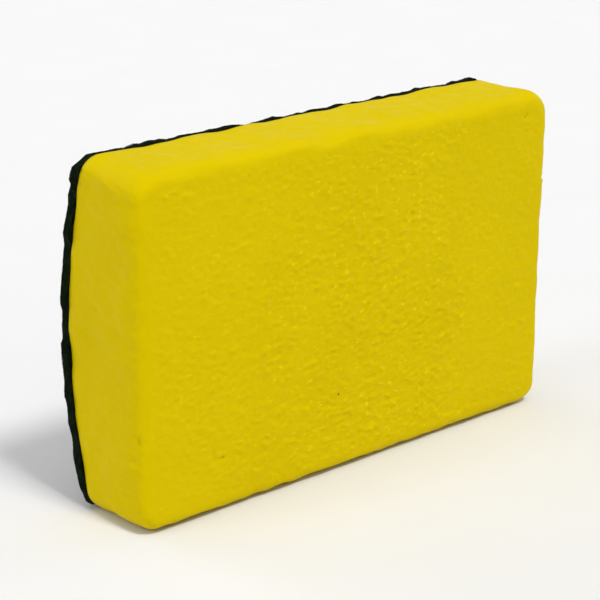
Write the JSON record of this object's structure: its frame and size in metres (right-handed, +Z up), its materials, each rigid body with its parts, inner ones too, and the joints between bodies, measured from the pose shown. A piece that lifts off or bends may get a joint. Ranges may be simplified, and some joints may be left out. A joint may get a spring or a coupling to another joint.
{
  "type": "chalkboard eraser",
  "caption": "Chalkboard eraser: a moulded foam grip with a bulging back, and a felt sheet glued over the bulge that wipes the board.",
  "frame": {"origin": "centre of the overall box, at the surface that the eraser stands on, with the eraser on one of its long narrow sides", "axes": "+X along the length, +Y from the foam grip's front face towards the felt, +Z up across the height"},
  "size_m": [0.1196, 0.0276, 0.076],
  "materials": {
    "foam": "satin",
    "glue": "satin",
    "felt": "matte"
  },
  "bodies": {
    "root": {"foam_body": "foam", "adhesive_film": "glue", "felt_pad": "felt"}
  },
  "joints": []
}
